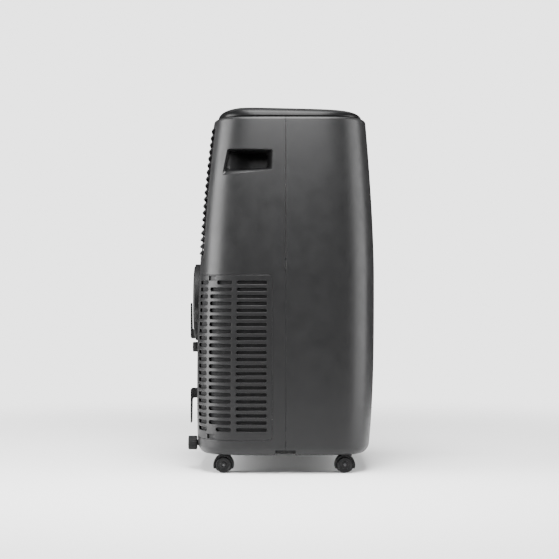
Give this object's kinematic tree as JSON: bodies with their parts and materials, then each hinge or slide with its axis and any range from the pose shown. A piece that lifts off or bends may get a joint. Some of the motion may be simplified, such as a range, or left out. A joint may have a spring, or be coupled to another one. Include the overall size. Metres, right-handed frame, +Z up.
{
  "type": "portable air conditioner",
  "caption": "Floor-standing portable air conditioner on swivel casters, with a top air-outlet flap, removable louvred filter panels, an exhaust collar, drain caps and cord hooks.",
  "frame": {"origin": "on the floor, at the middle of the whole machine's footprint", "axes": "+Z up, -Y is the front, +Y the rear with the exhaust collar, +X the machine's right side seen from behind"},
  "size_m": [0.4346, 0.373, 0.7],
  "materials": {
    "housing": "satin, fine moulded texture",
    "grille": "satin",
    "cover": "glossy",
    "black_plastic": "fine matt texture",
    "display": "polished",
    "button": "satin",
    "filter_mesh": "woven nylon mesh",
    "inner_plastic": "matt",
    "foam": "expanded foam",
    "fan_plastic": "satin",
    "copper": "drawn copper tube",
    "fins": "fine fins",
    "steel": "semi-gloss paint",
    "wheel": "hard nylon",
    "rubber": "soft"
  },
  "bodies": {
    "cabinet": {"base_pan": "black_plastic", "front_housing": "housing", "rear_housing": "housing", "top_cover": "cover", "control_panel": "black_plastic", "display_window": "display", "handle_cup_left": "black_plastic", "handle_cup_right": "black_plastic", "exhaust_flange": "black_plastic", "upper_cord_hook": "black_plastic", "lower_cord_hook": "black_plastic", "cord_gland": "rubber", "partition_deck": "foam", "evaporator_coil": "fins", "condenser_coil": "fins", "compressor": "steel", "upper_fan_scroll": "foam", "upper_fan_motor": "steel", "lower_fan_scroll": "inner_plastic", "lower_fan_motor": "steel", "electrics_box": "inner_plastic", "discharge_pipe": "copper", "suction_pipe": "copper", "flap_motor": "steel"},
    "flap": {"outlet_flap": "cover"},
    "vane_1": {"vane_1": "fan_plastic"},
    "vane_2": {"vane_2": "fan_plastic"},
    "vane_3": {"vane_3": "fan_plastic"},
    "vane_4": {"vane_4": "fan_plastic"},
    "vane_link": {"vane_link": "fan_plastic"},
    "upper_filter": {"upper_filter_grille": "grille", "upper_filter_mesh": "filter_mesh"},
    "side_panel_left": {"side_grille_left": "grille", "side_filter_left": "filter_mesh"},
    "side_panel_right": {"side_grille_right": "grille", "side_filter_right": "filter_mesh"},
    "upper_drain_cap": {"upper_drain_cap": "black_plastic"},
    "lower_drain_cap": {"lower_drain_cap": "black_plastic"},
    "middle_drain_plug": {"middle_drain_plug": "rubber"},
    "evaporator_fan": {"evaporator_fan": "fan_plastic"},
    "condenser_fan": {"condenser_fan": "fan_plastic"},
    "power_button": {"power_button": "button"},
    "mode_button": {"mode_button": "button"},
    "fan_button": {"fan_button": "button"},
    "timer_button": {"timer_button": "button"},
    "swing_button": {"swing_button": "button"},
    "caster_front_left": {"caster_front_left": "black_plastic"},
    "wheel_front_left_a": {"wheel_front_left_a": "wheel"},
    "wheel_front_left_b": {"wheel_front_left_b": "wheel"},
    "caster_front_right": {"caster_front_right": "black_plastic"},
    "wheel_front_right_a": {"wheel_front_right_a": "wheel"},
    "wheel_front_right_b": {"wheel_front_right_b": "wheel"},
    "caster_rear_left": {"caster_rear_left": "black_plastic"},
    "wheel_rear_left_a": {"wheel_rear_left_a": "wheel"},
    "wheel_rear_left_b": {"wheel_rear_left_b": "wheel"},
    "caster_rear_right": {"caster_rear_right": "black_plastic"},
    "wheel_rear_right_a": {"wheel_rear_right_a": "wheel"},
    "wheel_rear_right_b": {"wheel_rear_right_b": "wheel"}
  },
  "joints": [
    {"name": "flap_hinge", "type": "hinge", "parent": "cabinet", "child": "flap", "pos_m": [0, 0.0721, 0.6959], "axis": [-1, 0, 0], "range_deg": [0, 75]},
    {"name": "vane_1_pivot", "type": "hinge", "parent": "cabinet", "child": "vane_1", "pos_m": [-0.09, 0, 0.652], "axis": [0, 1, 0], "range_deg": [-30, 30]},
    {"name": "vane_2_pivot", "type": "hinge", "parent": "cabinet", "child": "vane_2", "pos_m": [-0.03, 0, 0.652], "axis": [0, 1, 0], "range_deg": [-30, 30]},
    {"name": "vane_3_pivot", "type": "hinge", "parent": "cabinet", "child": "vane_3", "pos_m": [0.03, 0, 0.652], "axis": [0, 1, 0], "range_deg": [-30, 30]},
    {"name": "vane_4_pivot", "type": "hinge", "parent": "cabinet", "child": "vane_4", "pos_m": [0.09, 0, 0.652], "axis": [0, 1, 0], "range_deg": [-30, 30]},
    {"name": "vane_link_pin", "type": "hinge", "parent": "vane_1", "child": "vane_link", "pos_m": [-0.09, 0, 0.639], "axis": [0, 1, 0], "range_deg": [-30, 30]},
    {"name": "upper_filter_pull", "type": "slide", "parent": "cabinet", "child": "upper_filter", "axis": [0, 1, 0], "range_m": [0, 0.06]},
    {"name": "side_panel_left_pull", "type": "slide", "parent": "cabinet", "child": "side_panel_left", "axis": [-0.7071, 0.7071, 0], "range_m": [0, 0.05]},
    {"name": "side_panel_right_pull", "type": "slide", "parent": "cabinet", "child": "side_panel_right", "axis": [0.7071, 0.7071, 0], "range_m": [0, 0.05]},
    {"name": "upper_drain_cap_turn", "type": "hinge", "parent": "cabinet", "child": "upper_drain_cap", "pos_m": [0.1, 0.165, 0.388], "axis": [0, 1, 0], "continuous": true},
    {"name": "lower_drain_cap_turn", "type": "hinge", "parent": "cabinet", "child": "lower_drain_cap", "pos_m": [-0.11, 0.165, 0.051], "axis": [0, 1, 0], "continuous": true},
    {"name": "middle_drain_plug_pull", "type": "slide", "parent": "cabinet", "child": "middle_drain_plug", "axis": [0, 1, 0], "range_m": [0, 0.03]},
    {"name": "evaporator_fan_spin", "type": "hinge", "parent": "cabinet", "child": "evaporator_fan", "pos_m": [0, 0, 0.52], "axis": [0, 1, 0], "continuous": true},
    {"name": "condenser_fan_spin", "type": "hinge", "parent": "cabinet", "child": "condenser_fan", "pos_m": [-0.038, 0, 0.166], "axis": [0, 1, 0], "continuous": true},
    {"name": "power_button_press", "type": "slide", "parent": "cabinet", "child": "power_button", "axis": [0, 0.0245, -0.9997], "range_m": [0, 0.0008], "stiffness_N_per_m": 600, "springref_m": -0.0005},
    {"name": "mode_button_press", "type": "slide", "parent": "cabinet", "child": "mode_button", "axis": [0, 0.0245, -0.9997], "range_m": [0, 0.0008], "stiffness_N_per_m": 600, "springref_m": -0.0005},
    {"name": "fan_button_press", "type": "slide", "parent": "cabinet", "child": "fan_button", "axis": [0, 0.0245, -0.9997], "range_m": [0, 0.0008], "stiffness_N_per_m": 600, "springref_m": -0.0005},
    {"name": "timer_button_press", "type": "slide", "parent": "cabinet", "child": "timer_button", "axis": [0, 0.0245, -0.9997], "range_m": [0, 0.0008], "stiffness_N_per_m": 600, "springref_m": -0.0005},
    {"name": "swing_button_press", "type": "slide", "parent": "cabinet", "child": "swing_button", "axis": [0, 0.0245, -0.9997], "range_m": [0, 0.0008], "stiffness_N_per_m": 600, "springref_m": -0.0005},
    {"name": "caster_front_left_swivel", "type": "hinge", "parent": "cabinet", "child": "caster_front_left", "pos_m": [-0.172, -0.128, 0.036], "axis": [0, 0, 1], "continuous": true},
    {"name": "wheel_front_left_a_roll", "type": "hinge", "parent": "caster_front_left", "child": "wheel_front_left_a", "pos_m": [-0.172, -0.125, 0.0153], "axis": [1, 0, 0], "continuous": true},
    {"name": "wheel_front_left_b_roll", "type": "hinge", "parent": "caster_front_left", "child": "wheel_front_left_b", "pos_m": [-0.172, -0.125, 0.0153], "axis": [1, 0, 0], "continuous": true},
    {"name": "caster_front_right_swivel", "type": "hinge", "parent": "cabinet", "child": "caster_front_right", "pos_m": [0.172, -0.128, 0.036], "axis": [0, 0, 1], "continuous": true},
    {"name": "wheel_front_right_a_roll", "type": "hinge", "parent": "caster_front_right", "child": "wheel_front_right_a", "pos_m": [0.172, -0.125, 0.0153], "axis": [1, 0, 0], "continuous": true},
    {"name": "wheel_front_right_b_roll", "type": "hinge", "parent": "caster_front_right", "child": "wheel_front_right_b", "pos_m": [0.172, -0.125, 0.0153], "axis": [1, 0, 0], "continuous": true},
    {"name": "caster_rear_left_swivel", "type": "hinge", "parent": "cabinet", "child": "caster_rear_left", "pos_m": [-0.172, 0.104, 0.036], "axis": [0, 0, 1], "continuous": true},
    {"name": "wheel_rear_left_a_roll", "type": "hinge", "parent": "caster_rear_left", "child": "wheel_rear_left_a", "pos_m": [-0.172, 0.107, 0.0153], "axis": [1, 0, 0], "continuous": true},
    {"name": "wheel_rear_left_b_roll", "type": "hinge", "parent": "caster_rear_left", "child": "wheel_rear_left_b", "pos_m": [-0.172, 0.107, 0.0153], "axis": [1, 0, 0], "continuous": true},
    {"name": "caster_rear_right_swivel", "type": "hinge", "parent": "cabinet", "child": "caster_rear_right", "pos_m": [0.172, 0.104, 0.036], "axis": [0, 0, 1], "continuous": true},
    {"name": "wheel_rear_right_a_roll", "type": "hinge", "parent": "caster_rear_right", "child": "wheel_rear_right_a", "pos_m": [0.172, 0.107, 0.0153], "axis": [1, 0, 0], "continuous": true},
    {"name": "wheel_rear_right_b_roll", "type": "hinge", "parent": "caster_rear_right", "child": "wheel_rear_right_b", "pos_m": [0.172, 0.107, 0.0153], "axis": [1, 0, 0], "continuous": true}
  ],
  "couplings": [
    {"joint": "vane_2_pivot", "follows": "vane_1_pivot", "ratio": 1},
    {"joint": "vane_3_pivot", "follows": "vane_1_pivot", "ratio": 1},
    {"joint": "vane_4_pivot", "follows": "vane_1_pivot", "ratio": 1},
    {"joint": "vane_link_pin", "follows": "vane_1_pivot", "ratio": -1}
  ]
}
